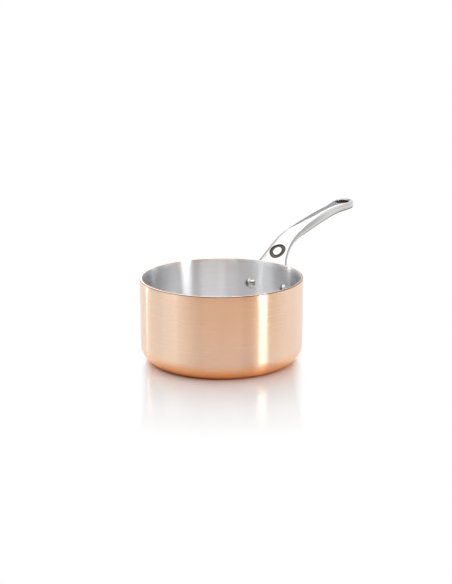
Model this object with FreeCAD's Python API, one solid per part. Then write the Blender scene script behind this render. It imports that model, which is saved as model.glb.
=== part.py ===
"""Two-layer copper saucepan with a cast stainless handle held by two rivets.

Frame: millimetres, +Z up. The origin is the middle of the underside, on the surface that the pan
stands on, and the handle points along +X. The pan is symmetric across the plane Y = 0.

Nodes: copper_body, steel_lining, handle, rivet_left (+Y) and rivet_right (-Y).
"""

import FreeCAD, Part
import math
import os

Vector = FreeCAD.Vector
ORIGIN = Vector(0, 0, 0)
ACROSS = Vector(0, 1, 0)
UP = Vector(0, 0, 1)

# ---- The pan ----
INNER_DIAMETER = 160.0      # the nominal size of the pan
PAN_HEIGHT = 85.5           # underside to rim
COPPER_THICKNESS = 1.8
LINING_THICKNESS = 0.2
CORNER_RADIUS = 17.5        # outside, between the base and the wall
RIM_EDGE_RADIUS = 0.5       # the copper's outer edge at the rim

# ---- The rivets ----
RIVET_SPACING = 44.5        # straight from axis to axis at the outside of the wall
RIVET_DROP = 26.0           # rim to rivet axis
SHANK_DIAMETER = 6.0
HEAD_DIAMETER = 11.0        # dome inside the pan
HEAD_HEIGHT = 2.6
TAIL_DIAMETER = 10.0        # lower dome outside, on the handle's flange
TAIL_HEIGHT = 1.6
SHANK_CLEARANCE = 0.05      # radial, in the copper, the lining and the flange

# ---- The handle ----
FLANGE_THICKNESS = 3.4
LOBE_RADIUS = 8.0           # flange metal round each rivet
LOBE_STATIONS = (0.0, 0.03, 0.10, 0.28, 0.56, 0.94)  # lowest cross-sections, as shares of that radius
EDGE_RADIUS = 0.8           # rounding along the flange's edges
SEAT_RISE = 3.9             # rivet axis to the height where the handle starts to leave the wall
GRINDING = 0.4              # metal that is ground off the flange to fit it to the wall
BENDS = (                   # the line of the handle above its seat, which starts upright
    # radius, turn in degrees
    (41.0, 40.0),
    (72.0, 34.3),
    (525.0, 10.7),
)
GRIP_THICKNESS = 8.0
GRIP_EDGE_RADIUS = 2.0
HANG_HOLE_DIAMETER = 16.0
HANG_HOLE_BEVEL = 0.7       # at both mouths of the hanging hole
HANG_HOLE_SHIFT = 2.8       # from the middle of the round end towards the pan
END_RING = 3.2              # metal on each side of the hanging hole
END_WIDTH = HANG_HOLE_DIAMETER + 2 * END_RING
STATIONS = (                # cross-sections from the seat to the middle of the round end
    # share of the length, width, thickening from flange (0) to grip (1), edge radius, bow
    (0.06, 47.4, 0.07, 0.8, 0.90),
    (0.12, 35.8, 0.02, 0.9, 0.50),
    (0.18, 29.0, 0.00, 1.0, 0.15),
    (0.25, 24.4, 0.04, 1.1, 0.0),
    (0.34, 21.8, 0.26, 1.4, 0.0),
    (0.44, 19.2, 0.74, 1.9, 0.0),
    (0.55, 17.0, 1.02, GRIP_EDGE_RADIUS, 0.0),
    (0.67, 15.8, 1.06, GRIP_EDGE_RADIUS, 0.0),
    (0.79, 15.2, 1.00, GRIP_EDGE_RADIUS, 0.0),
    (0.87, 15.9, 1.00, GRIP_EDGE_RADIUS, 0.0),
    (0.94, 19.8, 1.00, GRIP_EDGE_RADIUS, 0.0),
    (1.00, END_WIDTH, 1.00, GRIP_EDGE_RADIUS, 0.0),
)
RING_OUTER_DIAMETER = 18.0  # plain ring groove on the foot of the handle
RING_INNER_DIAMETER = 10.0
RING_DEPTH = 0.9
RING_PLACE = 35.5           # distance up the handle from the top of its seat

# ---- Sizes that follow from the ones above ----
inner_radius = INNER_DIAMETER / 2
bond_radius = inner_radius + LINING_THICKNESS
wall_radius = bond_radius + COPPER_THICKNESS
rivet_height = PAN_HEIGHT - RIVET_DROP
rivet_angle = math.degrees(math.asin(RIVET_SPACING / 2 / wall_radius))
flange_radius = wall_radius + FLANGE_THICKNESS
seat_top = rivet_height + SEAT_RISE
seat_length = SEAT_RISE + LOBE_RADIUS
blank_thickness = FLANGE_THICKNESS + GRINDING
handle_length = sum(radius * math.radians(turn) for radius, turn in BENDS)

# Cutting tools reach this much past the metal that they cut.
PAST = 5.0


# ---- The line of the handle ----
def normal(slope):
    """Out of the face that starts on the wall and ends on top of the grip."""
    return Vector(-math.sin(math.radians(slope)), 0, math.cos(math.radians(slope)))


def place(distance):
    """Point on the middle of that face, and the slope there, at a distance above the seat."""
    point = Vector(wall_radius - GRINDING, 0, seat_top)
    slope = 90.0
    if distance <= 0:
        return point + UP * distance, slope
    for radius, turn in BENDS:
        length = min(distance, radius * math.radians(turn))
        end_slope = slope - math.degrees(length / radius)
        # The arc's centre is behind the face, so the face turns outwards and down.
        point = point + (normal(end_slope) - normal(slope)) * radius
        slope = end_slope
        distance = distance - length
        if distance < 1e-9:
            break
    return point, slope


# ---- A cross-section: a flat bar with rounded edges, bent round the wall or left flat ----
def right_half(distance, width, thickness, edge, bow):
    """Points of the half on +Y. bow is 1 where the bar follows the wall and 0 where it is flat."""
    middle, slope = place(distance)
    out = normal(slope)
    curvature = bow / (wall_radius - GRINDING)

    def at(depth, across):
        if curvature == 0:
            return middle - out * depth + ACROSS * across
        radius = 1 / curvature + depth
        angle = across * curvature
        sideways = radius * math.sin(angle)
        return middle + out * (1 / curvature - radius * math.cos(angle)) + ACROSS * sideways

    half = width / 2
    if curvature:
        half = math.asin(half * curvature) / curvature
    bulge = edge * (1 - math.sqrt(0.5))
    return (
        at(0, 0),
        at(0, (half - edge) / 2),
        at(0, half - edge),
        at(bulge, half - bulge),
        at(edge, half),
        at(thickness - edge, half),
        at(thickness - bulge, half - bulge),
        at(thickness, half - edge),
        at(thickness, (half - edge) / 2),
        at(thickness, 0),
    )


def line(start, end):
    return Part.LineSegment(start, end).toShape()


def arc(start, middle, end):
    """A circular arc through three points, or a line if they are in line."""
    if (middle - (start + end) / 2).Length < 1e-6:
        return line(start, end)
    return Part.Arc(start, middle, end).toShape()


def mirrored(point):
    return Vector(point.x, -point.y, point.z)


def section(*sizes):
    """The whole cross-section as a closed wire."""
    top, _, top_end, near, side_start, side_end, far, under_end, _, under = right_half(*sizes)
    return Part.Wire([
        arc(mirrored(top_end), top, top_end),
        arc(top_end, near, side_start),
        line(side_start, side_end),
        arc(side_end, far, under_end),
        arc(under_end, under, mirrored(under_end)),
        arc(mirrored(under_end), mirrored(far), mirrored(side_end)),
        line(mirrored(side_end), mirrored(side_start)),
        arc(mirrored(side_start), mirrored(near), mirrored(top_end)),
    ])


def half_face(*sizes):
    """The half on +Y, closed along the middle of the bar."""
    top, between, top_end, near, side_start, side_end, far, under_end, below, under = right_half(*sizes)
    return Part.Face(Part.Wire([
        arc(top, between, top_end),
        arc(top_end, near, side_start),
        line(side_start, side_end),
        arc(side_end, far, under_end),
        arc(under_end, below, under),
        line(under, top),
    ]))


# ---- The handle's blank: one loft from the flange's lower edge to the middle of the round end ----
# The flange's outline is a straight lower edge with a round lobe about each rivet.
sections = []
for rise in [share * LOBE_RADIUS for share in LOBE_STATIONS] + [seat_length]:
    lobe = math.sqrt(LOBE_RADIUS ** 2 - (LOBE_RADIUS - rise) ** 2)
    missing = EDGE_RADIUS - math.sqrt(EDGE_RADIUS ** 2 - max(EDGE_RADIUS - rise, 0.0) ** 2)
    sections.append(section(
        rise - seat_length, RIVET_SPACING + 2 * lobe, blank_thickness - missing, EDGE_RADIUS, 1.0
    ))
for share, width, thickening, edge, bow in STATIONS:
    thickness = FLANGE_THICKNESS + thickening * (GRIP_THICKNESS - FLANGE_THICKNESS)
    sections.append(section(share * handle_length, width, thickness, edge, bow))
blank = Part.makeLoft(sections, True, False)

# The round end is half of that last section, turned about an axis through its middle.
end_point, end_slope = place(handle_length)
half = half_face(handle_length, width, thickness, edge, bow)
round_end = half.revolve(end_point, normal(end_slope), -180)
blank = blank.fuse(round_end)

# The hanging hole goes straight through the round end, with a bevel at both mouths.
hole_radius = HANG_HOLE_DIAMETER / 2
hole_point, hole_slope = place(handle_length - HANG_HOLE_SHIFT)
hole_axis = normal(hole_slope)
flare = HANG_HOLE_BEVEL + PAST
upper = hole_point - hole_axis * HANG_HOLE_BEVEL
lower = hole_point - hole_axis * (GRIP_THICKNESS - HANG_HOLE_BEVEL)
drill = Part.makeCylinder(
    hole_radius, GRIP_THICKNESS + 2 * PAST, hole_point + hole_axis * PAST, hole_axis * -1
)
drill = drill.fuse([
    Part.makeCone(hole_radius, hole_radius + flare, flare, upper, hole_axis),
    Part.makeCone(hole_radius, hole_radius + flare, flare, lower, hole_axis * -1),
])
blank = blank.cut(drill)

# A plain ring groove, square to the face of the foot.
ring_point, ring_slope = place(RING_PLACE)
ring_axis = normal(ring_slope)
ring_bottom = ring_point - ring_axis * RING_DEPTH
groove = Part.makeCylinder(RING_OUTER_DIAMETER / 2, RING_DEPTH + PAST, ring_bottom, ring_axis)
groove = groove.cut(
    Part.makeCylinder(RING_INNER_DIAMETER / 2, RING_DEPTH + PAST, ring_bottom, ring_axis)
)
blank = blank.cut(groove)

# Grinding the flange to the wall leaves it seated all over.
blank = blank.cut(Part.makeCylinder(wall_radius, PAN_HEIGHT + PAST, ORIGIN, UP))


# ---- The two layers of the pan ----
def shell(outside, inside, outside_corner, inside_corner, underside, floor):
    """A round pan: outside and inside are radii, underside and floor are heights."""
    outer_centre = Vector(outside - outside_corner, 0, underside + outside_corner)
    inner_centre = Vector(inside - inside_corner, 0, floor + inside_corner)
    diagonal = Vector(math.sqrt(0.5), 0, -math.sqrt(0.5))
    profile = Part.Wire([
        line(Vector(0, 0, underside), outer_centre - UP * outside_corner),
        arc(outer_centre - UP * outside_corner, outer_centre + diagonal * outside_corner,
            Vector(outside, 0, outer_centre.z)),
        line(Vector(outside, 0, outer_centre.z), Vector(outside, 0, PAN_HEIGHT)),
        line(Vector(outside, 0, PAN_HEIGHT), Vector(inside, 0, PAN_HEIGHT)),
        line(Vector(inside, 0, PAN_HEIGHT), Vector(inside, 0, inner_centre.z)),
        arc(Vector(inside, 0, inner_centre.z), inner_centre + diagonal * inside_corner,
            inner_centre - UP * inside_corner),
        line(inner_centre - UP * inside_corner, Vector(0, 0, floor)),
        line(Vector(0, 0, floor), Vector(0, 0, underside)),
    ])
    return Part.Face(profile).revolve(ORIGIN, UP, 360)


bond_corner = CORNER_RADIUS - COPPER_THICKNESS
inner_corner = bond_corner - LINING_THICKNESS
floor_height = COPPER_THICKNESS + LINING_THICKNESS
copper_body = shell(wall_radius, bond_radius, CORNER_RADIUS, bond_corner, 0.0, COPPER_THICKNESS)
steel_lining = shell(bond_radius, inner_radius, bond_corner, inner_corner, COPPER_THICKNESS, floor_height)

rim_edges = [
    edge for edge in copper_body.Edges
    if abs(edge.BoundBox.ZMin - PAN_HEIGHT) < 1e-6 and abs(edge.BoundBox.XMax - wall_radius) < 1e-6
]
copper_body = copper_body.makeFillet(RIM_EDGE_RADIUS, rim_edges)


# ---- The rivets and their holes ----
def cap_radius(diameter, height):
    """Radius of the ball whose cap has this diameter and height."""
    return (diameter ** 2 / 4 + height ** 2) / (2 * height)


head_ball = cap_radius(HEAD_DIAMETER, HEAD_HEIGHT)
tail_ball = cap_radius(TAIL_DIAMETER, TAIL_HEIGHT)
inside_of_pan = Part.makeCylinder(inner_radius, PAN_HEIGHT, ORIGIN, UP)
inside_of_flange = Part.makeCylinder(wall_radius + FLANGE_THICKNESS / 2, PAN_HEIGHT, ORIGIN, UP)

rivets = []
for side in (1, -1):
    angle = math.radians(side * rivet_angle)
    outward = Vector(math.cos(angle), math.sin(angle), 0)
    level = Vector(0, 0, rivet_height)

    head_centre = level + outward * (inner_radius - HEAD_HEIGHT + head_ball)
    head = Part.makeSphere(head_ball, head_centre).common(inside_of_pan)
    tail_centre = level + outward * (flange_radius + TAIL_HEIGHT - tail_ball)
    tail = Part.makeSphere(tail_ball, tail_centre).cut(inside_of_flange).cut(blank)
    shank_start = inner_radius - HEAD_HEIGHT / 2
    shank_end = flange_radius + TAIL_HEIGHT / 2
    shank = Part.makeCylinder(
        SHANK_DIAMETER / 2, shank_end - shank_start, level + outward * shank_start, outward
    )
    rivets.append(shank.fuse([head, tail]).removeSplitter())

    hole = Part.makeCylinder(
        SHANK_DIAMETER / 2 + SHANK_CLEARANCE, shank_end - shank_start + 2 * PAST,
        level + outward * (shank_start - PAST), outward
    )
    copper_body = copper_body.cut(hole)
    steel_lining = steel_lining.cut(hole)
    blank = blank.cut(hole)

parts = {
    "copper_body": copper_body,
    "steel_lining": steel_lining,
    "handle": blank,
    "rivet_left": rivets[0],
    "rivet_right": rivets[1],
}

os.makedirs("parts", exist_ok=True)
for name, shape in parts.items():
    solid = shape.Solids[0]
    solid.exportStep("parts/" + name + ".step")
    box = solid.BoundBox
    print(name, len(shape.Solids), "solid", "valid" if solid.isValid() else "NOT VALID",
          "volume", round(solid.Volume, 1),
          "box", [round(v, 2) for v in (box.XMin, box.YMin, box.ZMin, box.XMax, box.YMax, box.ZMax)])
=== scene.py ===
# %% [markdown]
# # A two-layer copper saucepan
# The pan is 160 mm across inside and 85.5 mm high. Its wall is 1.8 mm of copper with a thin skin of
# stainless steel bonded to the inside. A cast stainless handle is held on by two domed rivets.
# The exact solids come first, as a fixed frame to build the good-looking pieces round. Their box is
# measured now, and compared at the end with the box of what is shown.

# %% Load the frame
import math

import bmesh
import bpy
import numpy as np
from mathutils import Matrix, Vector


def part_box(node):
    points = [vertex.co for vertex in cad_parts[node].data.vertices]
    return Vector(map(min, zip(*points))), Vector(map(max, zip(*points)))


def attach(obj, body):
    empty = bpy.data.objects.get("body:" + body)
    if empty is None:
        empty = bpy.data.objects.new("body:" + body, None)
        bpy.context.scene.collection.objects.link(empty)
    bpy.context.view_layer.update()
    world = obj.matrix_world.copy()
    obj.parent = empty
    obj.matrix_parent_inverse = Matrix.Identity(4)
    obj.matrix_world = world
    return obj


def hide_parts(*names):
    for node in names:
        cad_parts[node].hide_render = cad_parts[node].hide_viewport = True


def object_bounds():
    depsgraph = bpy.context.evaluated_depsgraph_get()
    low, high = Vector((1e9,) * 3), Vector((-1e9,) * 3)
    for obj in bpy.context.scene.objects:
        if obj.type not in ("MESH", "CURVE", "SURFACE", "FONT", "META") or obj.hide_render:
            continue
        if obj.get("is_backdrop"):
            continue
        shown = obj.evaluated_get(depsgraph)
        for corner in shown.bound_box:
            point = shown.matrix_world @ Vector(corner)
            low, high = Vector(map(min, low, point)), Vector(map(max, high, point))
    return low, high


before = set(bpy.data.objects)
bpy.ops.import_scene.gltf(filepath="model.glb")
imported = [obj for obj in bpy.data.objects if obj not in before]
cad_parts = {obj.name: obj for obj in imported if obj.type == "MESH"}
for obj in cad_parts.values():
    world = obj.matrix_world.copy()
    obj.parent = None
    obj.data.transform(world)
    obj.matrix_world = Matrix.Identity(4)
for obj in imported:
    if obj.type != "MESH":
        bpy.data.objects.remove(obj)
cad_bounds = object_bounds()
print("nodes:", sorted(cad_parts))
print("box of the solids:", [round(v, 4) for corner in cad_bounds for v in corner])

# %% [markdown]
# Every size is a length in metres, but a pan maker thinks in millimetres, so one factor turns the one
# into the other. What the solids' boxes can tell is read from them: the copper's far corner gives the
# wall and the rim, and the lining's lowest point gives the thickness of the copper under it. The rest
# can't be read from a box and is typed.

# %% Sizes of the pan
MM = 0.001
copper_corner, lining_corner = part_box("copper_body")[1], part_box("steel_lining")[0]
WALL_RADIUS = round(copper_corner.x, 5)
RIM_HEIGHT = round(copper_corner.z, 5)
COPPER_THICKNESS = round(lining_corner.z, 5)
LINING_THICKNESS = 0.2 * MM
BOND_RADIUS = WALL_RADIUS - COPPER_THICKNESS
INNER_RADIUS = BOND_RADIUS - LINING_THICKNESS
CORNER_RADIUS = 17.5 * MM
RIM_EDGE = 0.5 * MM
print("wall radius", WALL_RADIUS, "rim height", RIM_HEIGHT, "inside diameter", 2 * INNER_RADIUS)

# %% [markdown]
# The pan is the same all round, so each layer is one profile turned about the middle. The profile
# could be typed as a list of points. Here it is drawn the way that a compass draws it:
# one vertex starts on the axis, extruding carries it along the straight runs, and a small spin
# carries it round each corner. That keeps every arc a true arc and every run evenly divided, which
# a polished surface needs, because any uneven step shows as a kink in its reflections.

# %% Drawing a profile with extrude and spin
ACROSS = Vector((0, 1, 0))
UP = Vector((0, 0, 1))


def start_profile(x, z):
    bm = bmesh.new()
    return bm, bmesh.ops.create_vert(bm, co=(x, 0, z))["vert"][0]


def run_to(bm, vert, x, z, steps=1):
    """Extrudes the end of the profile to (x, z) in equal steps."""
    start = vert.co.copy()
    for step in range(1, steps + 1):
        vert = bmesh.ops.extrude_vert_indiv(bm, verts=[vert])["verts"][0]
        vert.co = start.lerp(Vector((x, 0, z)), step / steps)
    return vert


def points_of(geom):
    return [item for item in geom if isinstance(item, bmesh.types.BMVert)]


def swung(bm, vert, centre, axis, degrees, steps):
    spun = bmesh.ops.spin(
        bm, geom=[vert], cent=centre, axis=axis, angle=math.radians(degrees), steps=steps
    )
    return points_of(spun["geom_last"])[0]


def turn_about(bm, vert, x, z, degrees, steps):
    """Spins the end of the profile about the point (x, z)."""
    return swung(bm, vert, (x, 0, z), ACROSS, degrees, steps)


trial, tip = start_profile(0, 0)
tip = turn_about(trial, tip, 0, CORNER_RADIUS, -90, 4)
print("a quarter turn of the corner ends at, mm", [round(v / MM, 2) for v in tip.co])
trial.free()

# %% [markdown]
# Turning the finished profile through a full circle closes the wall. The spin merges its last copy
# with its first, and the points on the axis then become one point each. A profile can come out
# inside out, so the normals are worked out again on the closed shell.

# %% Turning a profile into a pan
TURNS = 192
POLE = 0.001 * MM
SHARP = math.radians(35)


def turned(bm, axis, steps):
    bmesh.ops.spin(
        bm, geom=bm.verts[:] + bm.edges[:], cent=(0, 0, 0), axis=axis,
        angle=2 * math.pi, steps=steps, use_merge=True,
    )
    bmesh.ops.remove_doubles(bm, verts=bm.verts[:], dist=POLE)
    bmesh.ops.recalc_face_normals(bm, faces=bm.faces[:])
    return bm


def finished(bm, name, node):
    """Makes the object, shades it smooth except over sharp edges, and puts it on its body."""
    open_edges = [edge for edge in bm.edges if len(edge.link_faces) != 2]
    for face in bm.faces:
        face.smooth = True
    for edge in bm.edges:
        edge.smooth = edge.calc_face_angle(0.0) < SHARP
    mesh = bpy.data.meshes.new(name)
    print(name, "faces", len(bm.faces), "open edges", len(open_edges),
          "volume mm3", round(bm.calc_volume(signed=True) / MM ** 3, 1))
    bm.to_mesh(mesh)
    bm.free()
    piece = bpy.data.objects.new(name, mesh)
    bpy.context.scene.collection.objects.link(piece)
    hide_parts(node)
    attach(piece, "root")
    return piece


print("one step of the turn at the wall, mm", round(2 * math.pi * WALL_RADIUS / TURNS / MM, 2))

# %% [markdown]
# The pan is drawn from a sheet of two metals, rolled together before the press shapes them: thick
# copper outside, which spreads the heat, and thin stainless steel inside, which food can touch.
# One shell with two materials would look the same, but the two layers are separate pieces, so each
# is a closed shell of its own. They share one profile: out along the underside, round the corner, up
# the wall, over the rim, and back the same way inside.

# %% Both layers of the pan
FLOOR_STEPS, NEAR_STEPS, CORNER_STEPS, WALL_STEPS = 6, 3, 20, 10
RIM_STEPS, SMALL_STEPS = 4, 2
NEAR_CORNER = 3 * MM
SMALL_EDGE = 0.05 * MM
INSIDE_CORNER = CORNER_RADIUS - COPPER_THICKNESS


def layer(outside, inside, outer_corner, inner_corner, underside, floor, rim_edge):
    flat_end, wall_start = outside - outer_corner, underside + outer_corner
    inner_end, inner_start = inside - inner_corner, floor + inner_corner
    bm, tip = start_profile(0, underside)
    tip = run_to(bm, tip, flat_end - NEAR_CORNER, underside, FLOOR_STEPS)
    tip = run_to(bm, tip, flat_end, underside, NEAR_STEPS)
    tip = turn_about(bm, tip, flat_end, wall_start, -90, CORNER_STEPS)
    tip = run_to(bm, tip, outside, wall_start + NEAR_CORNER, NEAR_STEPS)
    tip = run_to(bm, tip, outside, RIM_HEIGHT - rim_edge, WALL_STEPS)
    tip = turn_about(bm, tip, outside - rim_edge, RIM_HEIGHT - rim_edge, -90, RIM_STEPS)
    tip = run_to(bm, tip, inside + SMALL_EDGE, RIM_HEIGHT)
    tip = turn_about(bm, tip, inside + SMALL_EDGE, RIM_HEIGHT - SMALL_EDGE, -90, SMALL_STEPS)
    tip = run_to(bm, tip, inside, inner_start + NEAR_CORNER, WALL_STEPS)
    tip = run_to(bm, tip, inside, inner_start, NEAR_STEPS)
    tip = turn_about(bm, tip, inner_end, inner_start, 90, CORNER_STEPS)
    tip = run_to(bm, tip, inner_end - NEAR_CORNER, floor, NEAR_STEPS)
    run_to(bm, tip, 0, floor, FLOOR_STEPS)
    return turned(bm, UP, TURNS)


copper_shell = finished(
    layer(WALL_RADIUS, BOND_RADIUS, CORNER_RADIUS, INSIDE_CORNER, 0, COPPER_THICKNESS, RIM_EDGE),
    "copper_shell", "copper_body",
)
lining_shell = finished(
    layer(BOND_RADIUS, INNER_RADIUS, INSIDE_CORNER, INSIDE_CORNER - LINING_THICKNESS,
          COPPER_THICKNESS, COPPER_THICKNESS + LINING_THICKNESS, SMALL_EDGE),
    "lining_shell", "steel_lining",
)

# %% [markdown]
# The handle is a casting: a thin flange that hugs the wall, a neck that leaves it in two easy bends,
# and a thick grip that ends in a round eye. It could be sculpted in place, but a smith's way is
# easier to check. The bar is made flat and straight first, with its outline, eye, ring groove and
# rounded edges, and is bent last, by one rule that carries each point to the line of the handle.
# That line is three arcs. It is measured along the face that starts on the wall and ends on top.

# %% The line of the handle
GRINDING = 0.4 * MM
SEAT_TOP = 63.4 * MM
BENDS = ((41.0 * MM, 40.0), (72.0 * MM, 34.3), (525.0 * MM, 10.7))
HANDLE_LENGTH = sum(radius * math.radians(turn) for radius, turn in BENDS)


def out_of_face(slope):
    return Vector((-math.sin(slope), 0, math.cos(slope)))


def on_line(along):
    """Point on the middle of the face and the slope there, at a distance above the seat."""
    point, slope = Vector((WALL_RADIUS - GRINDING, 0, SEAT_TOP)), math.pi / 2
    if along <= 0:
        return point + UP * along, slope
    for number, (radius, turn) in enumerate(BENDS):
        last = number == len(BENDS) - 1
        swing = along / radius if last else min(along / radius, math.radians(turn))
        point = point + (out_of_face(slope - swing) - out_of_face(slope)) * radius
        slope, along = slope - swing, along - swing * radius
    return point, slope


print("length of the line, mm", round(HANDLE_LENGTH / MM, 1))

# %% [markdown]
# The bar's sizes change along it and are known at a few places only. Straight lines between them
# would show as bands in the polish, so a cubic spline goes through them: it is smooth in slope and in
# curvature. Blender's curves could draw one, but a function can be asked for its value anywhere.

# %% A smooth curve through a few sizes
def cubic(places, values, first_slope=0.0):
    """A cubic spline through the values, with the slope given at its start and level at its end."""
    x, y = np.array(places), np.array(values)
    h, rise = np.diff(x), np.diff(y)
    n = len(x)
    rows, sums = np.zeros((n, n)), np.zeros(n)
    rows[0, 0], sums[0], rows[-1, -1] = 1, first_slope, 1
    for i in range(1, n - 1):
        rows[i, i - 1:i + 2] = h[i], 2 * (h[i - 1] + h[i]), h[i - 1]
        sums[i] = 3 * (rise[i - 1] * h[i] / h[i - 1] + rise[i] * h[i - 1] / h[i])
    slopes = np.linalg.solve(rows, sums)

    def at(place):
        i = int(np.clip(np.searchsorted(x, place) - 1, 0, n - 2))
        t = min(max((place - x[i]) / h[i], 0.0), 1.0)
        return float(
            y[i] * (1 + 2 * t) * (1 - t) ** 2 + y[i + 1] * t * t * (3 - 2 * t)
            + h[i] * t * (1 - t) * (slopes[i] * (1 - t) - slopes[i + 1] * t)
        )

    return at


print("a curve through 0, 1, 0 is, a quarter of the way along,", cubic([0, 1, 2], [0, 1, 0])(0.5))

# %% [markdown]
# The table gives the sizes at each place, and the lobes that hold the rivets give the width where it
# starts. The bow is 1 where the bar follows the round wall and 0 where it is flat.

# %% Sizes along the bar
STATIONS = (
    # share of the length, width in mm, thickening from flange to grip, edge rounding in mm, bow
    (0.06, 47.4, 0.07, 0.8, 0.90),
    (0.12, 35.8, 0.02, 0.9, 0.50),
    (0.18, 29.0, 0.00, 1.0, 0.15),
    (0.25, 24.4, 0.04, 1.1, 0.0),
    (0.34, 21.8, 0.26, 1.4, 0.0),
    (0.44, 19.2, 0.74, 1.9, 0.0),
    (0.55, 17.0, 1.02, 2.0, 0.0),
    (0.67, 15.8, 1.06, 2.0, 0.0),
    (0.79, 15.2, 1.00, 2.0, 0.0),
    (0.87, 15.9, 1.00, 2.0, 0.0),
    (0.94, 19.8, 1.00, 2.0, 0.0),
    (1.00, 22.4, 1.00, 2.0, 0.0),
)
LOBE_RADIUS = 8.0 * MM
LOBE_ACROSS = 22.25 * MM
SEAT_RISE = 3.9 * MM
SEAT_LENGTH = SEAT_RISE + LOBE_RADIUS
FLANGE_THICKNESS, FLANGE_EDGE = 3.4 * MM, 0.8 * MM
GRIP_THICKNESS = 8.0 * MM
lobe_turn = math.acos(SEAT_RISE / LOBE_RADIUS)
seat_half = LOBE_ACROSS + LOBE_RADIUS * math.sin(lobe_turn)
seat_slope = -SEAT_RISE / (LOBE_RADIUS * math.sin(lobe_turn))

shares, widths, thickenings, roundings, bows = zip(*STATIONS)
places = [0.0] + [share * HANDLE_LENGTH for share in shares]
half_width = cubic(places, [seat_half] + [width / 2 * MM for width in widths], seat_slope)
thickness = cubic(places, [FLANGE_THICKNESS + GRINDING] + [
    FLANGE_THICKNESS + share * (GRIP_THICKNESS - FLANGE_THICKNESS) for share in thickenings
])
rounding = cubic(places, [FLANGE_EDGE] + [size * MM for size in roundings])
bow = cubic(places, [1.0] + list(bows))
print("half width at the seat, mm", round(seat_half / MM, 2), "slope", round(seat_slope, 3))

# %% [markdown]
# Only the half on one side of the middle is drawn, because then the eye and the ring groove are
# just detours of the outline along the middle line, and every face is a simple one. The outline is
# drawn like the pan's profile: extruded along the straight runs and the sides, spun round the lobe
# that holds the rivet, the round end, the eye and the ring. Filling it closes the face.

# %% Half of the flat bar
EYE_RADIUS = 8.0 * MM
EYE_BEFORE_END = 2.8 * MM
EYE_PLACE = HANDLE_LENGTH - EYE_BEFORE_END
END_RADIUS = 11.2 * MM
RING_PLACE = 35.5 * MM
RING_OUTER = 9.0 * MM
RING_INNER = 5.0 * MM
SIDE_STEPS, LOBE_STEPS, END_STEPS = 60, 14, 16
EYE_STEPS, RING_STEPS, DISC_STEPS = 28, 24, 16
bar = bmesh.new()


def draw_to(vert, x, y):
    vert = bmesh.ops.extrude_vert_indiv(bar, verts=[vert])["verts"][0]
    vert.co = (x, y, 0)
    return vert


def draw_round(vert, x, y, degrees, steps):
    return swung(bar, vert, (x, y, 0), UP, degrees, steps)


first = bmesh.ops.create_vert(bar, co=(-SEAT_LENGTH, 0, 0))["vert"][0]
pen = draw_to(first, -SEAT_LENGTH, LOBE_ACROSS)
pen = draw_round(pen, -SEAT_RISE, LOBE_ACROSS, math.degrees(lobe_turn) - 180, LOBE_STEPS)
for step in range(1, SIDE_STEPS + 1):
    along = HANDLE_LENGTH * step / SIDE_STEPS
    pen = draw_to(pen, along, half_width(along))
pen = draw_round(pen, HANDLE_LENGTH, 0, -90, END_STEPS)
outline = np.array([vert.co[:2] for vert in bar.verts])
pen = draw_to(pen, EYE_PLACE + EYE_RADIUS, 0)
pen = draw_round(pen, EYE_PLACE, 0, 180, EYE_STEPS)
ring_end = pen = draw_to(pen, RING_PLACE + RING_OUTER, 0)
drawn = set(bar.edges)
ring_start = pen = draw_round(pen, RING_PLACE, 0, 180, RING_STEPS)
outer_ring = [edge for edge in bar.edges if edge not in drawn]
bar.edges.new((pen, first))
bmesh.ops.contextual_create(bar, geom=bar.edges[:])
print("outline points", len(outline), "of all points", len(bar.verts))

# %% [markdown]
# The outline went round the ring, so the ring is filled by itself: the groove is sunk from its face
# in the next step. The bare disc inside it is a third face, level with the rest.

# %% The ring and the disc inside it
drawn = set(bar.edges)
disc_end = draw_to(ring_end, RING_PLACE + RING_INNER, 0)
before_disc = set(bar.edges)
disc_start = draw_round(disc_end, RING_PLACE, 0, 180, DISC_STEPS)
inner_ring = [edge for edge in bar.edges if edge not in before_disc]
bar.edges.new((disc_start, ring_start))
ring_edges = [edge for edge in bar.edges if edge not in drawn] + outer_ring
groove_face = bmesh.ops.contextual_create(bar, geom=ring_edges)["faces"][0]
middle_edge = bar.edges.new((disc_start, disc_end))
bmesh.ops.contextual_create(bar, geom=inner_ring + [middle_edge])
print("faces of the flat half", len(bar.faces))

# %% [markdown]
# Extruding the half gives it its thickness, and extruding the ring's face again sinks the groove.
# The blank is as thick as the grip, with edges of 2 mm. Bending scales both to what the bar has at
# each place, so the groove is drawn deeper by as much as it will be scaled down.

# %% Thickness and groove
BLANK = GRIP_THICKNESS
ROUND = 2.0 * MM
GROOVE_DEPTH = 0.9 * MM * ROUND / rounding(RING_PLACE)

for face in bar.faces:
    if face.normal.z < 0:
        face.normal_flip()
lower = bmesh.ops.extrude_face_region(bar, geom=bar.faces[:], use_keep_orig=True)["geom"]
bmesh.ops.translate(bar, vec=(0, 0, -BLANK), verts=points_of(lower))
sunk = bmesh.ops.extrude_face_region(bar, geom=[groove_face])["geom"]
bmesh.ops.translate(bar, vec=(0, 0, -GROOVE_DEPTH), verts=points_of(sunk))
bmesh.ops.delete(bar, geom=[groove_face], context="FACES_ONLY")
bmesh.ops.recalc_face_normals(bar, faces=bar.faces[:])
print("groove on the blank, mm", round(GROOVE_DEPTH / MM, 2), "faces", len(bar.faces))

# %% [markdown]
# The edges are bevelled in three goes, since the outside, the eye and the groove are rounded by
# different amounts. The faces on the middle plane stay until that is done, so that the bevels end
# squarely on it. They go before the mirror, which would otherwise bury them. A point that then lies
# on a straight edge with nothing else meeting it is taken out as well.

# %% Rounding the edges
EYE_BEVEL, EYE_CLEAR = 0.4 * MM, 1.5 * MM
GROOVE_ROUND = 0.3 * MM
SMALL_SEGMENTS, ROUND_SEGMENTS = 2, 5
NEAR = 0.01 * MM


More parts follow.
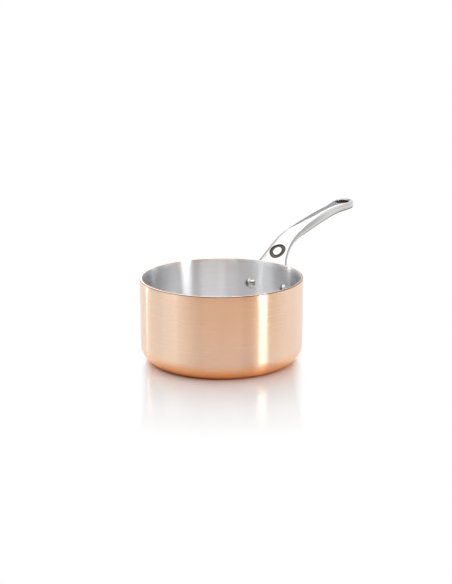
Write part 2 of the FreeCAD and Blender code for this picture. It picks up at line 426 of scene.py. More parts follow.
def away_from(place, point):
    """Distance of a point from a place on the middle line, seen from above."""
    return math.hypot(point.x - place, point.y)


def bevel_edges(chosen, width, segments):
    bmesh.ops.bevel(
        bar, geom=chosen, offset=width, offset_type="OFFSET", affect="EDGES", segments=segments,
        profile=0.5, material=-1, clamp_overlap=True,
    )


def level_edges(test):
    """Edges along a top or bottom outline, off the middle plane, whose two ends pass the test."""
    return [
        edge for edge in bar.edges
        if abs(edge.verts[0].co.z - edge.verts[1].co.z) < NEAR
        and max(vert.co.y for vert in edge.verts) > NEAR
        and all(min(abs(vert.co.z), abs(vert.co.z + BLANK)) < NEAR for vert in edge.verts)
        and all(test(vert) for vert in edge.verts)
    ]


def on_eye(vert):
    return abs(away_from(EYE_PLACE, vert.co) - EYE_RADIUS) < NEAR


def on_ring(vert):
    reach = away_from(RING_PLACE, vert.co)
    return min(abs(reach - RING_OUTER), abs(reach - RING_INNER)) < NEAR


under_ring = [edge for edge in level_edges(on_ring) if edge.verts[0].co.z < -NEAR]
bmesh.ops.dissolve_edges(bar, edges=under_ring, use_verts=False)
bevel_edges(level_edges(on_eye), EYE_BEVEL, SMALL_SEGMENTS)
bevel_edges(level_edges(on_ring), GROOVE_ROUND, SMALL_SEGMENTS)
bevel_edges(
    [edge for edge in level_edges(lambda vert: True)
     if len(edge.link_faces) == 2
     and max(away_from(RING_PLACE, vert.co) for vert in edge.verts) > RING_OUTER + ROUND
     and max(away_from(EYE_PLACE, vert.co) for vert in edge.verts) > EYE_RADIUS + EYE_CLEAR],
    ROUND, ROUND_SEGMENTS,
)
middle = [face for face in bar.faces if all(abs(vert.co.y) < NEAR for vert in face.verts)]
bmesh.ops.delete(bar, geom=middle, context="FACES")
spare = [vert for vert in bar.verts if abs(vert.co.y) < NEAR and len(vert.link_edges) == 2]
bmesh.ops.dissolve_verts(bar, verts=spare)
print("faces of the half bar", len(bar.faces), "spare points taken out", len(spare))

# %% [markdown]
# A long face can't bend, so the bar is sliced across every 2 mm with bisect_plane, which cuts every
# face that it meets and leaves the outline alone. The foot also bends round the wall, and the top of
# the grip is crowned, so those two are sliced lengthways as well. Subdividing would cut everything
# evenly, but it would put most of its faces where nothing bends.

# %% Slicing the bar
ALONG = Vector((1, 0, 0))
SLICE = 2.0 * MM
FOOT_SLICE, FOOT_END = 3.0 * MM, 0.30 * HANDLE_LENGTH
GRIP_SLICE, GRIP_START = 1.4 * MM, 0.30 * HANDLE_LENGTH


def slice_at(point, direction, part):
    bmesh.ops.bisect_plane(bar, geom=part, dist=NEAR, plane_co=point, plane_no=direction)


def slice_lengthways(step, reach, test):
    for number in range(1, int(reach / step) + 1):
        part = [face for face in bar.faces if test(face.calc_center_median().x)]
        part = list({item for face in part for item in (face, *face.edges, *face.verts)})
        slice_at((0, number * step, 0), ACROSS, part)


for number in range(1, int((HANDLE_LENGTH + SEAT_LENGTH + END_RADIUS) / SLICE)):
    everything = bar.verts[:] + bar.edges[:] + bar.faces[:]
    slice_at((-SEAT_LENGTH + number * SLICE, 0, 0), ALONG, everything)
slice_lengthways(FOOT_SLICE, LOBE_ACROSS + LOBE_RADIUS, lambda x: x < FOOT_END)
slice_lengthways(GRIP_SLICE, END_RADIUS, lambda x: x > GRIP_START)
print("faces after slicing", len(bar.faces))

# %% [markdown]
# The wall of the eye and the inside of the groove stay rough on a polished casting, and they get a
# painted shade, much darker than the polished steel. Their faces get the second material while the bar
# is still flat, because it is easy to say there which ones they are. The half is then mirrored and
# welded along the middle.

# %% Marking the rough and shaded faces and mirroring
def unpolished_and_shaded(face):
    """Whether the face lies in the eye or in the groove, where a polishing wheel can't reach and shade
    is painted.
    """
    middle = face.calc_center_median()
    from_eye, from_ring = away_from(EYE_PLACE, middle), away_from(RING_PLACE, middle)
    in_groove = -GROOVE_DEPTH - NEAR < middle.z < -GROOVE_ROUND / 2 and from_ring < RING_OUTER + NEAR
    return from_eye < EYE_RADIUS + NEAR or in_groove


for face in bar.faces:
    # The second material is rough cast steel with painted shade, for the eye and the groove.
    face.material_index = 1 if unpolished_and_shaded(face) else 0
bmesh.ops.mirror(bar, geom=bar.verts[:] + bar.edges[:] + bar.faces[:], axis="Y", merge_dist=NEAR)
bmesh.ops.recalc_face_normals(bar, faces=bar.faces[:])
print("faces", len(bar.faces), "open edges", sum(len(edge.link_faces) != 2 for edge in bar.edges))

# %% [markdown]
# One rule moves every point. A point's depth and its distance from the outline are first scaled from
# the blank's to what the bar has at that place. Then the point is set on the bent line: out along
# the face's normal for its depth, and round the wall where the bar is bowed. The grip's top is a
# little crowned, higher in the middle than at its edges, as a hand likes it, and that too is part of
# the depth.

# %% The rule that bends the bar
FADE = 6.0 * MM
CROWN, CROWN_RISE = 0.9 * MM, 0.7
crown_places = [share * HANDLE_LENGTH for share in (0, 0.26, 0.46, 0.85, 1)]
crown = cubic(crown_places, [0, 0, CROWN, CROWN, 0.3 * CROWN])


def feet_on_outline(plan):
    """For each point in plan, the nearest point of the outline and the distance to it."""
    starts, runs = outline[:-1], np.diff(outline, axis=0)
    shares = ((plan[:, None] - starts) * runs).sum(2) / (runs ** 2).sum(1)
    feet = starts + runs * np.clip(shares, 0, 1)[..., None]
    away = np.linalg.norm(plan[:, None] - feet, axis=2)
    nearest = away.argmin(1)
    rows = np.arange(len(plan))
    return feet[rows, nearest], away[rows, nearest]


def scaled(size, edge):
    """A distance from an edge of the blank, with its 2 mm rounding made this big."""
    if size < ROUND:
        return size * edge / ROUND
    return size - (ROUND - edge) * max(0.0, 1 - (size - ROUND) / FADE)


def bent(along, across, depth):
    point, slope = on_line(along)
    out = out_of_face(slope)
    curve = max(bow(along), 0.0) / (WALL_RADIUS - GRINDING)
    if curve < 1.0:
        return point - out * depth + ACROSS * across
    radius = 1 / curve + depth
    turn = math.asin(across * curve)
    return point + out * (1 / curve - radius * math.cos(turn)) + ACROSS * radius * math.sin(turn)


print("the eye's middle goes to, mm", [round(v / MM, 1) for v in bent(EYE_PLACE, 0, 0)])

# %% [markdown]
# The rule is now used on every vertex. On the way, the vertices of the rounded edges get a number of
# their own, a float layer that becomes an attribute: how much painted shade the finish puts there. On
# the far side the painted shade runs on over the top and fades within 3 mm. Last, what would lie inside
# the copper is moved out to it, as grinding the foot does.

# %% Bending the bar
# edge_shade holds painted shade: how dark a line the finish paints along the rounded edges.
NEAR_SIDE_SHADE, SHADE_FADE = 0.6, 3.0 * MM
edge_shade = bar.verts.layers.float.new("edge_shade")
shade_places = [share * HANDLE_LENGTH for share in (0, 0.40, 0.60, 0.75, 1)]
edge_strength = cubic(shade_places, [1.0, 0.9, 0.8, 0.3, 0.3])


def set_out(vert, radius):
    """Moves a vertex level, straight from the pan's axis, to this distance from it."""
    share = radius / math.hypot(vert.co.x, vert.co.y)
    vert.co.x, vert.co.y = vert.co.x * share, vert.co.y * share


plan = np.array([(vert.co.x, abs(vert.co.y)) for vert in bar.verts])
feet, away = feet_on_outline(plan)
for vert, foot, distance in zip(bar.verts, feet, away):
    side = 0 if abs(vert.co.y) < NEAR else math.copysign(1, vert.co.y)
    along, across, depth = vert.co.x, abs(vert.co.y), -vert.co.z
    thick, edge = thickness(along), rounding(along)
    if distance < ROUND - NEAR and NEAR < depth < ROUND + NEAR:
        vert[edge_shade] = edge_strength(along) * (1.0 if side > 0 else NEAR_SIDE_SHADE)
    elif side > 0 and depth < NEAR:
        vert[edge_shade] = max(0.0, 1 - (distance - ROUND) / SHADE_FADE) * edge_strength(along)
    if distance > NEAR:
        stretch = scaled(distance, edge) / distance
        along = foot[0] + (along - foot[0]) * stretch
        across = foot[1] + (across - foot[1]) * stretch
    if depth < BLANK / 2:
        out_share = min(across / half_width(along), 1.0)
        depth = depth * edge / ROUND + crown(along) * (out_share ** 2 - CROWN_RISE)
    else:
        depth = thick - (BLANK - depth) * edge / ROUND
    vert.co = bent(along, side * across, depth)
    if math.hypot(vert.co.x, vert.co.y) < WALL_RADIUS and vert.co.z < RIM_HEIGHT:
        set_out(vert, WALL_RADIUS)
bmesh.ops.recalc_face_normals(bar, faces=bar.faces[:])
cast_handle = finished(bar, "cast_handle", "handle")
corners = np.array(cast_handle.bound_box) / MM
print("shown handle, mm", [round(float(v), 2) for v in (*corners.min(0), *corners.max(0))])

# %% [markdown]
# Each rivet is a dome inside the pan, a shank through both layers and the flange, and a lower dome
# outside. It is turned like the pan, but about the X axis, and then swung round the pan to its place.
# The domes' undersides are flat as drawn, so their rims are set on the round walls that they grip.

# %% Rivets
SHANK_RADIUS = 3.0 * MM
HEAD_RADIUS, HEAD_HEIGHT = 5.5 * MM, 2.6 * MM
TAIL_RADIUS, TAIL_HEIGHT = 5.0 * MM, 1.6 * MM
RIVET_HEIGHT = RIM_HEIGHT - 26.0 * MM
RIVET_SWING = math.asin(LOBE_ACROSS / WALL_RADIUS)
FLANGE_RADIUS = WALL_RADIUS + FLANGE_THICKNESS
MID_WALL = (INNER_RADIUS + WALL_RADIUS) / 2
DOME_STEPS, UNDER_STEPS, SHANK_STEPS, RIVET_TURNS = 10, 2, 4, 48


def ball_of(radius, height):
    """Radius of the ball whose cap has this radius and height, and the cap's half angle."""
    ball = (radius ** 2 + height ** 2) / (2 * height)
    return ball, math.degrees(math.asin(radius / ball))


def rivet(name, node, side):
    head_ball, head_angle = ball_of(HEAD_RADIUS, HEAD_HEIGHT)
    tail_ball, tail_angle = ball_of(TAIL_RADIUS, TAIL_HEIGHT)
    bm, tip = start_profile(INNER_RADIUS - HEAD_HEIGHT, 0)
    tip = turn_about(bm, tip, INNER_RADIUS - HEAD_HEIGHT + head_ball, 0, head_angle, DOME_STEPS)
    tip = run_to(bm, tip, INNER_RADIUS, SHANK_RADIUS, UNDER_STEPS)
    tip = run_to(bm, tip, FLANGE_RADIUS, SHANK_RADIUS, SHANK_STEPS)
    tip = run_to(bm, tip, FLANGE_RADIUS, TAIL_RADIUS, UNDER_STEPS)
    turn_about(bm, tip, FLANGE_RADIUS + TAIL_HEIGHT - tail_ball, 0, tail_angle, DOME_STEPS)
    turned(bm, ALONG, RIVET_TURNS)
    place = Matrix.Rotation(side * RIVET_SWING, 4, "Z") @ Matrix.Translation((0, 0, RIVET_HEIGHT))
    bmesh.ops.transform(bm, matrix=place, verts=bm.verts[:])
    for vert in bm.verts:
        reach = math.hypot(vert.co.x, vert.co.y)
        off_axis = (vert.co - place @ (ALONG * reach)).length
        if INNER_RADIUS < reach < FLANGE_RADIUS and off_axis > SHANK_RADIUS + NEAR:
            set_out(vert, INNER_RADIUS if reach < MID_WALL else FLANGE_RADIUS)
    bmesh.ops.recalc_face_normals(bm, faces=bm.faces[:])
    piece = finished(bm, name, node)
    return piece


rivet_heads = [rivet("rivet_pin_left", "rivet_left", 1), rivet("rivet_pin_right", "rivet_right", -1)]

# %% [markdown]
# The camera stands where a customer would: 1.2 m away, a little above the rim, with the handle
# pointing away to the right. Its place could be typed as three numbers, but a heading, a pitch and
# a distance can be set one at a time, and the same directions place the lamps later.

# %% Camera
HEADING = math.radians(38.31)
PITCH = math.radians(14.588)
ROLL = math.radians(-0.222)
DISTANCE = 1.2099
AIM_RIGHT, AIM_HEIGHT = 0.004619, 0.069275
LENS, SENSOR = 73.973, 36.0
NEAREST, FURTHEST = 0.05, 50
level = Vector((math.cos(HEADING), math.sin(HEADING), 0))
look = level * math.cos(PITCH) - UP * math.sin(PITCH)
right = look.cross(UP).normalized()
aim = right * AIM_RIGHT + UP * AIM_HEIGHT
camera_data = bpy.data.cameras.new("camera")
camera_data.sensor_width, camera_data.lens = SENSOR, LENS
camera_data.clip_start, camera_data.clip_end = NEAREST, FURTHEST
camera = bpy.data.objects.new("camera", camera_data)
camera.matrix_world = (
    Matrix.Translation(aim - look * DISTANCE)
    @ look.to_track_quat("-Z", "Y").to_matrix().to_4x4()
    @ Matrix.Rotation(ROLL, 4, "Z")
)
bpy.context.scene.collection.objects.link(camera)
bpy.context.scene.camera = camera
print("lens, mm", LENS, "camera at", [round(v, 3) for v in camera.matrix_world.translation])

# %% [markdown]
# Every look from here on is a small tree of shader nodes. Linking each socket by hand hides what a
# finish does, so a few helpers do it: one adds a node and connects what feeds it, and the others
# wrap the nodes that come back most often.

# %% Helpers for nodes
FLOAT, VECTOR, COLOR = "NodeSocketFloat", "NodeSocketVector", "NodeSocketColor"
WHITE = (1.0, 1.0, 1.0, 1.0)


def add_node(tree, kind, inputs=None, **settings):
    """Adds a shader node. Each input is given a value, or the socket that feeds it."""
    made = tree.nodes.new(kind)
    for name, value in settings.items():
        setattr(made, name, value)
    for name, value in (inputs or {}).items():
        if isinstance(value, bpy.types.NodeSocket):
            tree.links.new(value, made.inputs[name])
        else:
            made.inputs[name].default_value = value
    return made


def math_node(tree, operation, first, second=0.0):
    return add_node(tree, "ShaderNodeMath", {0: first, 1: second}, operation=operation).outputs[0]


def vector_math(tree, operation, first, second=(0.0, 0.0, 0.0), output="Vector"):
    made = add_node(tree, "ShaderNodeVectorMath", {0: first, 1: second}, operation=operation)
    return made.outputs[output]


def to_range(tree, value, low, high, start=0.0, end=1.0, shape="LINEAR"):
    """Turns start..end into low..high, and holds it there outside."""
    return add_node(tree, "ShaderNodeMapRange", {
        "Value": value, "From Min": start, "From Max": end, "To Min": low, "To Max": high,
    }, interpolation_type=shape).outputs[0]


def smooth_step(tree, value, start, end):
    return to_range(tree, value, 0.0, 1.0, start, end, "SMOOTHSTEP")


def mix_colors(tree, factor, first, second):
    """The Mix node keeps its colours in inputs 6 and 7, and gives the mixed one in output 2."""
    made = add_node(tree, "ShaderNodeMix", {0: factor, 6: first, 7: second}, data_type="RGBA")
    return made.outputs[2]


def part_of(tree, vector, axis):
    return add_node(tree, "ShaderNodeSeparateXYZ", {"Vector": vector}).outputs[axis]


def object_place(tree):
    return add_node(tree, "ShaderNodeTexCoord").outputs["Object"]


print("helpers for nodes, with sockets of", FLOAT, VECTOR, COLOR)

# %% [markdown]
# An effect that several materials use is a node group: built once, with named inputs and outputs,
# and placed in each material with its own values. Copying the nodes into each material would work
# too, but a change would then have to be made in every copy.

# %% Helpers for node groups
def new_group(name, inputs, outputs):
    tree = bpy.data.node_groups.new(name, "ShaderNodeTree")
    for label, kind in inputs:
        tree.interface.new_socket(label, in_out="INPUT", socket_type=kind)
    for label, kind in outputs:
        tree.interface.new_socket(label, in_out="OUTPUT", socket_type=kind)
    print("group", name, "takes", [label for label, kind in inputs],
          "and gives", [label for label, kind in outputs])
    return tree, add_node(tree, "NodeGroupInput").outputs


def use_group(tree, group, inputs):
    return add_node(tree, "ShaderNodeGroup", inputs, node_tree=group).outputs


# %% [markdown]
# Polished metal has next to no look of its own: it shows what stands round it. So the studio comes
# before the finishes. The room is white, except for a warm brown side where the camera stands.
# That side keeps the front of the pan from washing out. The world and a card on the table both
# need to know where it is, so it is a group: 1 in the middle of the warm side, 0 outside it.

# %% The warm side of the room
ROOM_SIDE = 14.0
ROOM_EDGE, ROOM_FULL = math.cos(math.radians(85)), math.cos(math.radians(22))


def round_pan(degrees, distance, height):
    """A place round the pan. The turn is counted from the camera's side, and grows to its right."""
    turn = math.radians(degrees)
    flat = -level * math.cos(turn) + right * math.sin(turn)
    return flat * distance + UP * height


warm_side, given = new_group("warm_side", [("Vector", VECTOR)], [("Share", FLOAT)])
warm_middle = round_pan(ROOM_SIDE, 1.0, 0.0)
toward = vector_math(warm_side, "DOT_PRODUCT", given["Vector"], warm_middle, "Value")
add_node(warm_side, "NodeGroupOutput", {"Share": smooth_step(warm_side, toward, ROOM_EDGE, ROOM_FULL)})
print("the warm side lies toward", [round(v, 3) for v in warm_middle])

# %% [markdown]
# The world carries the room. What is seen directly, or in a mirror, is shown at full white, and the
# light that falls on matt things is a little less, so that pale surfaces keep their shading.

# %% The room
ROOM_TONE = (0.33, 0.14, 0.06, 1)
FILL_LIGHT = 0.8
world = bpy.data.worlds.new("white_studio")
bpy.context.scene.world = world
world.use_nodes = True
tree = world.node_tree
tree.nodes.clear()
rays = add_node(tree, "ShaderNodeLightPath").outputs
seen = math_node(tree, "MAXIMUM", rays["Is Camera Ray"], rays["Is Glossy Ray"])
seen = math_node(tree, "MAXIMUM", seen, rays["Is Transmission Ray"])
direction = add_node(tree, "ShaderNodeTexCoord").outputs["Generated"]
share = use_group(tree, warm_side, {"Vector": direction})["Share"]
sky = add_node(tree, "ShaderNodeBackground", {
    "Color": mix_colors(tree, share, WHITE, ROOM_TONE),
    "Strength": to_range(tree, seen, FILL_LIGHT, 1.0),
})
add_node(tree, "ShaderNodeOutputWorld", {"Surface": sky.outputs[0]})
print("room nodes", len(tree.nodes))

# %% [markdown]
# A lamp for metal is a shape to be mirrored more than it is a light. Two tall narrow strips draw
# the bright upright lines on the wall, a broad box over the camera lights the inside, and fainter
# panels are there for the handle and the lining to show. A brightness of 1 adds one more white to
# what is behind the lamp, whatever its size, so the sizes can be changed without a new exposure.

# %% Soft boxes
PAN_MIDDLE, GRIP = Vector((0, 0, 0)), Vector((0.20, 0, 0))
LAMPS = (
    # name, degrees round the centre, distance, bottom, top, width, brightness, centre
    ("strip_right", 57.0, 1.0, 0.0, 1.0, 0.20, 6.0, PAN_MIDDLE),
    ("strip_back_left", -121.5, 1.0, 0.0, 1.0, 0.04, 9.0, PAN_MIDDLE),
    ("front_high", 3.0, 1.3, 1.0, 1.8, 1.5, 3.2, PAN_MIDDLE),
    ("strip_left", -64.0, 1.0, 0.0, 1.0, 0.10, 0.3, PAN_MIDDLE),
    ("strip_back_right", 127.0, 1.0, 0.0, 1.0, 0.06, 0.5, PAN_MIDDLE),
    ("back_low", 181.0, 2.0, 0.26, 0.68, 0.6, 1.6, PAN_MIDDLE),
    ("back_high", -176.0, 1.6, 0.62, 2.6, 0.68, 0.9, GRIP),
    ("left_high", -114.0, 1.6, 0.9, 3.6, 3.7, 0.55, GRIP),
)


def facing(place, front, centre):
    """Stands a panel at the place and turns it so that its front looks level at the centre."""
    turn = (centre + UP * place.z - place).to_track_quat(front, "Y")
    return Matrix.Translation(place) @ turn.to_matrix().to_4x4()


def soft_box(name, degrees, distance, bottom, top, width, brightness, centre):
    data = bpy.data.lights.new(name, "AREA")
    data.shape, data.size, data.size_y = "RECTANGLE", width, top - bottom
    data.energy = brightness * math.pi * width * (top - bottom)
    box = bpy.data.objects.new(name, data)
    middle = centre + round_pan(degrees, distance, (bottom + top) / 2)
    box.matrix_world = facing(middle, "-Z", centre)
    box.visible_camera = False
    bpy.context.scene.collection.objects.link(box)
    return data.energy


powers = [soft_box(*lamp) for lamp in LAMPS]
print(len(LAMPS), "soft boxes, watts", [round(power, 2) for power in powers])

# %% [markdown]
# All else in the studio is flat: the table, two boards and a card. One helper makes a plain
# material, one a sheet, and one blends two shaders. Each sheet is marked as a backdrop, which keeps it
# out of the measured box.

# %% Helpers for sheets
def plain_material(name, color, roughness):
    made = bpy.data.materials.new(name)
    made.use_nodes = True
    shader = made.node_tree.nodes["Principled BSDF"]
    shader.inputs["Base Color"].default_value = color
    shader.inputs["Roughness"].default_value = roughness
    return made, made.node_tree, shader


def sheet(name, width, length, place, material):
    """A flat sheet of the studio. It isn't part of the object."""
    bm = bmesh.new()
    bmesh.ops.create_grid(bm, x_segments=1, y_segments=1, size=0.5)
    bmesh.ops.scale(bm, vec=(width, length, 1), verts=bm.verts[:])
    bmesh.ops.transform(bm, matrix=place, verts=bm.verts[:])
    mesh = bpy.data.meshes.new(name)
    bm.to_mesh(mesh)
    bm.free()
    mesh.materials.append(material)
    made = bpy.data.objects.new(name, mesh)
    bpy.context.scene.collection.objects.link(made)
    made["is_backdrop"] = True
    print(name, "is", round(width, 3), "by", round(length, 3), "m")
    return made


def blend_shaders(tree, factor, first, second):
    mixed = add_node(tree, "ShaderNodeMixShader", {0: factor, 1: first.outputs[0], 2: second.outputs[0]})
    tree.links.new(mixed.outputs[0], tree.nodes["Material Output"].inputs["Surface"])


print("helpers for sheets: plain_material, sheet, blend_shaders")

# %% [markdown]
# The pan stands on a sheet of glossy white acrylic, which mirrors it faintly and takes its soft
# shadow. Further off the sheet has to vanish into the white room. A white cloth that curves up
# behind would do it, but would darken with distance, so the acrylic fades into a plain white glow
# instead. The glow starts sooner behind the pan, and at its two sides, where no shadow falls.

# %% Table
TABLE_SIZE = 8.0
TABLE_TONE, TABLE_GLOSS = (0.76, 0.77, 0.79, 1), 0.10
SHADOW_START, SHADOW_END = 0.075, 0.23
SIDE_START, SIDE_END = 0.060, 0.073
BEHIND_START, BEHIND_END, BEHIND_STRETCH = -0.02, 0.04, 1.7
acrylic, tree, shader = plain_material("white_acrylic", TABLE_TONE, TABLE_GLOSS)
place = object_place(tree)
behind = vector_math(tree, "DOT_PRODUCT", place, level, "Value")
stretch = to_range(tree, behind, 1.0, BEHIND_STRETCH, BEHIND_START, BEHIND_END)
away = math_node(tree, "MULTIPLY", vector_math(tree, "LENGTH", place, output="Value"), stretch)
aside = math_node(tree, "ABSOLUTE", vector_math(tree, "DOT_PRODUCT", place, right, "Value"))
aside = math_node(tree, "DIVIDE", aside, math_node(tree, "ADD", behind, DISTANCE * math.cos(PITCH)))
clear_of_shadow = math_node(
    tree, "MAXIMUM", smooth_step(tree, away, SHADOW_START, SHADOW_END),
    smooth_step(tree, aside, SIDE_START, SIDE_END),
)
glow = add_node(tree, "ShaderNodeEmission", {"Color": WHITE, "Strength": 1.0})
blend_shaders(tree, clear_of_shadow, shader, glow)
sheet("table", TABLE_SIZE, TABLE_SIZE, Matrix.Identity(4), acrylic)

# %% [markdown]
# Boards do the opposite of lamps: they put a grey into a reflection. One hangs close behind the grip
# and gives its far half a cool band. It leans, so the band grows wider towards the eye. Another
# darkens the right side of the lining. A warm card lies just over the table in front of the pan and
# gives back to the copper's wall the tone that the white table takes away. None of them is seen
# directly.

# %% Boards and card
CARD_SIZE, CARD_HEIGHT = 3.2, 4 * MM
CARD_START, CARD_END = 0.15, 0.24
CARD_TONE = (0.75, 0.60, 0.44, 1)
BOARD_GLOSS = 0.8
BOARDS = (
    # name, degrees, distance, bottom, top, width, lean in degrees, color, centre
    ("board_grip", 180, 0.36, 0.146, 0.259, 0.141, -57, (0.46, 0.48, 0.54, 1), right * 0.099),
    ("board_left", -100, 1.2, 0.12, 0.60, 0.60, 0, (0.35, 0.35, 0.35, 1), PAN_MIDDLE),
)


def board(name, degrees, distance, bottom, top, width, lean, color, centre):
    place = facing(centre + round_pan(degrees, distance, (bottom + top) / 2), "Z", centre)
    place = place @ Matrix.Rotation(math.radians(lean), 4, "Z")
    material = plain_material(name, color, BOARD_GLOSS)[0]
    sheet(name, width, top - bottom, place, material).visible_camera = False


for values in BOARDS:
    board(*values)
card, tree, shader = plain_material("front_card", CARD_TONE, BOARD_GLOSS)
place = object_place(tree)
away = vector_math(tree, "LENGTH", place, output="Value")
share = use_group(tree, warm_side, {"Vector": vector_math(tree, "NORMALIZE", place)})["Share"]
shown = math_node(tree, "MULTIPLY", smooth_step(tree, away, CARD_START, CARD_END), share)
blend_shaders(tree, shown, add_node(tree, "ShaderNodeBsdfTransparent"), shader)
raised = Matrix.Translation((0, 0, CARD_HEIGHT))
sheet("front_card", CARD_SIZE, CARD_SIZE, raised, card).visible_camera = False

# %% [markdown]
# Both layers of the pan are finished on a lathe, so their polish runs round it. A bitmap of rings
# would stretch at the corner, so the lines come from one noise: it changes quickly along the
# profile and slowly round the pan. Distance from the axis plus height serves as the place on the
# profile, because it keeps growing from the middle of the floor, round the corner and up the wall.

# %% Turned lines, as a node group
turned_lines, given = new_group(
    "turned_lines", [("Vector", VECTOR), ("Lines per metre", FLOAT), ("Change round", FLOAT)],
    [("Lines", FLOAT)],
)


def from_axis(tree, place):
    """The place without its height, and its distance from the axis of the pan."""
    flat = vector_math(tree, "MULTIPLY", place, (1, 1, 0))
    return flat, vector_math(tree, "LENGTH", flat, output="Value")


flat, reach = from_axis(turned_lines, given["Vector"])
height = part_of(turned_lines, given["Vector"], "Z")
heading = add_node(turned_lines, "ShaderNodeVectorMath", {
    0: vector_math(turned_lines, "NORMALIZE", flat), "Scale": given["Change round"],
}, operation="SCALE").outputs[0]
heading = add_node(turned_lines, "ShaderNodeSeparateXYZ", {"Vector": heading}).outputs
along_profile = math_node(turned_lines, "ADD", reach, height)
where = add_node(turned_lines, "ShaderNodeCombineXYZ", {
    "X": math_node(turned_lines, "MULTIPLY", along_profile, given["Lines per metre"]),
    "Y": heading["X"], "Z": heading["Y"],
})
rings = add_node(turned_lines, "ShaderNodeTexNoise", {
    "Vector": where.outputs[0], "Scale": 1.0, "Detail": 3.0, "Roughness": 0.7})
add_node(turned_lines, "NodeGroupOutput", {"Lines": rings.outputs["Fac"]})
print("nodes in the turned lines", len(turned_lines.nodes))

# %% [markdown]
# Metal that is handled is never one even shade. Every finish here has soft patches that differ a
# little in colour and in gloss, from wiping, from fingers or from the grain of the casting. One
# group makes them from one noise, so that a dull patch is also the darker or the lighter one.

# %% Patches, as a node group
PATCH_START, PATCH_END = 0.3, 0.7
patches, given = new_group(
    "patches",
    [("Vector", VECTOR), ("Scale", FLOAT), ("Detail", FLOAT), ("First color", COLOR),
     ("Second color", COLOR), ("First roughness", FLOAT), ("Second roughness", FLOAT)],
    [("Color", COLOR), ("Roughness", FLOAT), ("Mask", FLOAT)],
)
mask = add_node(patches, "ShaderNodeTexNoise", {
    "Vector": given["Vector"], "Scale": given["Scale"], "Detail": given["Detail"]}).outputs["Fac"]
add_node(patches, "NodeGroupOutput", {
    "Color": mix_colors(patches, mask, given["First color"], given["Second color"]),
    "Roughness": to_range(patches, mask, given["First roughness"], given["Second roughness"],
                          PATCH_START, PATCH_END),
    "Mask": mask,
})
print("nodes in the patches", len(patches.nodes))

# %% [markdown]
# Each metal starts as a bare metallic shader, and what varies over its surface is then linked in.
# What is the same all over, such as how strongly the polish stretches a reflection, is set on the
# shader itself. A lathe's polish spreads reflections up and down the wall and keeps them narrow
# sideways, which is what turns a lamp into a crisp upright line.

# %% Helpers for the metals
def metal(name):
    made = bpy.data.materials.new(name)
    made.use_nodes = True
    tree = made.node_tree
    tree.nodes.clear()
    shader = add_node(tree, "ShaderNodeBsdfPrincipled", {"Metallic": 1.0})
    add_node(tree, "ShaderNodeOutputMaterial", {"Surface": shader.outputs[0]})
    return made, tree, shader


def polished_on_lathe(tree, shader):
    tangent = add_node(tree, "ShaderNodeTangent", direction_type="RADIAL", axis="Z").outputs[0]
    tree.links.new(tangent, shader.inputs["Tangent"])
    shader.inputs["Anisotropic"].default_value = 1.0
    shader.inputs["Anisotropic Rotation"].default_value = 0.25


def add_patches(tree, scale, detail, first, second, smooth=0.0, rough=0.0):
    return use_group(tree, patches, {
        "Vector": object_place(tree), "Scale": scale, "Detail": detail, "First color": first,
        "Second color": second, "First roughness": smooth, "Second roughness": rough})


def give_surface(tree, shader, color, roughness, height, strength, distance):
    """Links the colour and the roughness, and a bump made from the height."""
    bump = add_node(tree, "ShaderNodeBump", {
        "Height": height, "Strength": strength, "Distance": distance}).outputs[0]
    for name, value in {"Base Color": color, "Roughness": roughness, "Normal": bump}.items():
        tree.links.new(value, shader.inputs[name])
    print("finish with", len(tree.nodes), "nodes, bump of", round(distance / MM, 3), "mm")


# %% [markdown]
# The outside is polished until its lines can hardly be seen. The colour is that of bare copper with
# a lacquer over it, a pale rose. Towards the foot a much redder colour is painted in: a painted
# reflection of copper where it mirrors itself. The rounded outer edge of the rim gets a painted dark
# reflection, a thin dark band.

# %% Polished copper
ROSE, PALE_ROSE = (0.850, 0.615, 0.462, 1), (0.880, 0.645, 0.492, 1)
# The red towards the foot is a painted reflection of the copper in itself, not its own colour.
FOOT_REFLECTION_RED, FOOT_LOW, FOOT_HIGH = (1.0, 0.40, 0.09, 1), 2.5 * MM, 19 * MM
# The dark band on the rim's rounded outer edge is a painted dark reflection.
RIM_DARK_REFLECTION, RIM_DARK_START, RIM_DARK_FULL = (0.16, 0.11, 0.08, 1), 0.9 * MM, 0.5 * MM
RIM_DARK_INSIDE, RIM_DARK_OUTSIDE = 0.5 * MM, 0.3 * MM
copper, tree, shader = metal("polished_copper")
place = object_place(tree)
lines = use_group(tree, turned_lines, {
    "Vector": place, "Lines per metre": 2500.0, "Change round": 1.5})["Lines"]
tint = add_patches(tree, 18.0, 2.0, ROSE, PALE_ROSE)["Color"]
height = part_of(tree, place, "Z")
# Painted reflection: the colour turns redder towards the foot.
tint = mix_colors(tree, to_range(tree, height, 1.0, 0.0, FOOT_LOW, FOOT_HIGH), tint, FOOT_REFLECTION_RED)
reach = from_axis(tree, place)[1]
# Painted dark reflection on the rounded outer edge of the rim.
rim_reflection_mask = math_node(
    tree, "MULTIPLY",
    to_range(tree, height, 0.0, 1.0, RIM_HEIGHT - RIM_DARK_START, RIM_HEIGHT - RIM_DARK_FULL),
    to_range(tree, reach, 0.0, 1.0, WALL_RADIUS - RIM_DARK_INSIDE, WALL_RADIUS - RIM_DARK_OUTSIDE),
)
tint = mix_colors(tree, rim_reflection_mask, tint, RIM_DARK_REFLECTION)
polish = to_range(tree, lines, 0.265, 0.275, PATCH_START, PATCH_END)
give_surface(tree, shader, tint, polish, lines, 0.012, 0.02 * MM)
polished_on_lathe(tree, shader)
copper_shell.data.materials.append(copper)

# %% [markdown]
# The lining is left brushed, because a mirror would show every scratch from a whisk. Its lines are
# coarser and deeper than the copper's, and they vary in shade as well as in height.

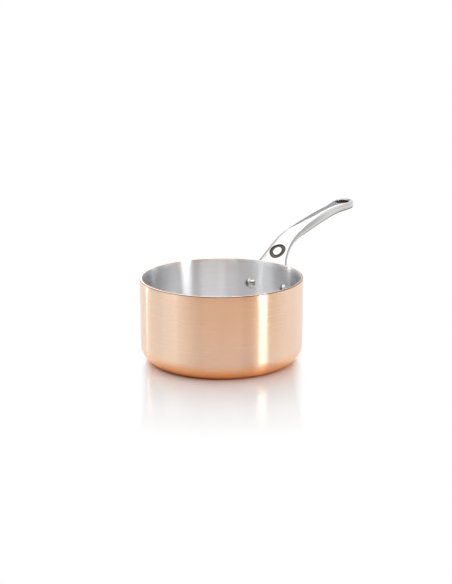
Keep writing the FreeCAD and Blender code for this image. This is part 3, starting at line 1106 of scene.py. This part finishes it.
# %% Brushed lining
LINE_DARK, LINE_PALE = (0.77, 0.785, 0.80, 1), (0.86, 0.875, 0.89, 1)
brushed, tree, shader = metal("brushed_lining")
lines = use_group(tree, turned_lines, {
    "Vector": object_place(tree), "Lines per metre": 1500.0, "Change round": 2.5})["Lines"]
color = mix_colors(tree, to_range(tree, lines, 0.0, 1.0, 0.25, 0.75), LINE_DARK, LINE_PALE)
brush = to_range(tree, lines, 0.28, 0.34, PATCH_START, PATCH_END)
give_surface(tree, shader, color, brush, lines, 0.6, 0.05 * MM)
polished_on_lathe(tree, shader)
lining_shell.data.materials.append(brushed)

# %% [markdown]
# The handle is polished on a soft wheel, which leaves a faint waviness and a few smudges. The rounded
# edges get a painted shade, a darker line along them. They could be found from the angle of the
# surface, but that would darken the bends too, so they were marked on the mesh. The underside gets a
# painted shade as well: faces that look down are darkened.

# %% Polished cast steel
# The first grey is a painted shade along the rounded edges.
EDGE_SHADE_GREY, UNDER_SHADE_GREY = (0.20, 0.198, 0.195, 1), (0.10, 0.097, 0.095, 1)
CAST_TONES = (0.68, 0.675, 0.67, 1), (0.73, 0.73, 0.725, 1)
# The second grey is a painted shade on faces that look down, full where they point this far down.
UNDER_SHADE_FULL = -0.30
cast, tree, shader = metal("cast_steel")
smudges = add_patches(tree, 35.0, 4.0, *CAST_TONES, 0.10, 0.16)
edges = add_node(tree, "ShaderNodeAttribute", attribute_name="edge_shade").outputs["Fac"]
# Painted shade: the rounded edges are mixed towards a darker grey.
shade = mix_colors(tree, edges, smudges["Color"], EDGE_SHADE_GREY)
outward = part_of(tree, add_node(tree, "ShaderNodeNewGeometry").outputs["Normal"], "Z")
# Painted shade on the underside of the handle.
shade = mix_colors(tree, to_range(tree, outward, 1.0, 0.0, UNDER_SHADE_FULL, 0.0), shade, UNDER_SHADE_GREY)
waviness = add_node(tree, "ShaderNodeTexNoise", {"Vector": object_place(tree), "Scale": 60.0})
give_surface(tree, shader, shade, smudges["Roughness"], waviness.outputs["Fac"], 0.05, 0.5 * MM)
cast_handle.data.materials.append(cast)

# %% [markdown]
# Inside the eye and down in the ring groove no wheel can reach, so the steel stays as it came from
# the mould: rough and grainy. Its very dark brown is partly the cast skin and partly a painted shade of
# these recesses. The grain is the same noise for colour, gloss and bump.

# %% Steel as it comes from the mould, with painted shade
# The dark tones are partly the cast skin and partly a painted shade of the eye and the groove.
MOULD_SHADE_TONES = (0.075, 0.066, 0.056, 1), (0.135, 0.120, 0.106, 1)
raw_and_shaded, tree, shader = metal("raw_casting_shaded")
grain = add_patches(tree, 900.0, 4.0, *MOULD_SHADE_TONES, 0.35, 0.55)
give_surface(tree, shader, grain["Color"], grain["Roughness"], grain["Mask"], 0.4, 0.2 * MM)
cast_handle.data.materials.append(raw_and_shaded)

# %% [markdown]
# The rivets were struck with a hammer and a set, so their domes are smooth but not even. They are
# a shade darker than the handle, with small blotches.

# %% Rivet steel
RIVET_TONES = (0.48, 0.47, 0.46, 1), (0.66, 0.65, 0.64, 1)
pin, tree, shader = metal("rivet_steel")
blotches = add_patches(tree, 300.0, 4.0, *RIVET_TONES, 0.12, 0.24)
give_surface(tree, shader, blotches["Color"], blotches["Roughness"], blotches["Mask"], 0.08, 0.3 * MM)
for head in rivet_heads:
    head.data.materials.append(pin)

# %% [markdown]
# Last, the box of the pieces that are shown is measured and kept beside the box of the solids. The
# two should agree to a fraction of a millimetre, because a handsome pan of the wrong size is wrong.

# %% Check the box and finish
visual_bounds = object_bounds()
difference = [
    round((shown - solid) / MM, 3)
    for shown_corner, solid_corner in zip(visual_bounds, cad_bounds)
    for shown, solid in zip(shown_corner, solid_corner)
]
print("box of what is shown, less that of the solids, mm:", difference)
bpy.context.scene.view_settings.view_transform = "Standard"
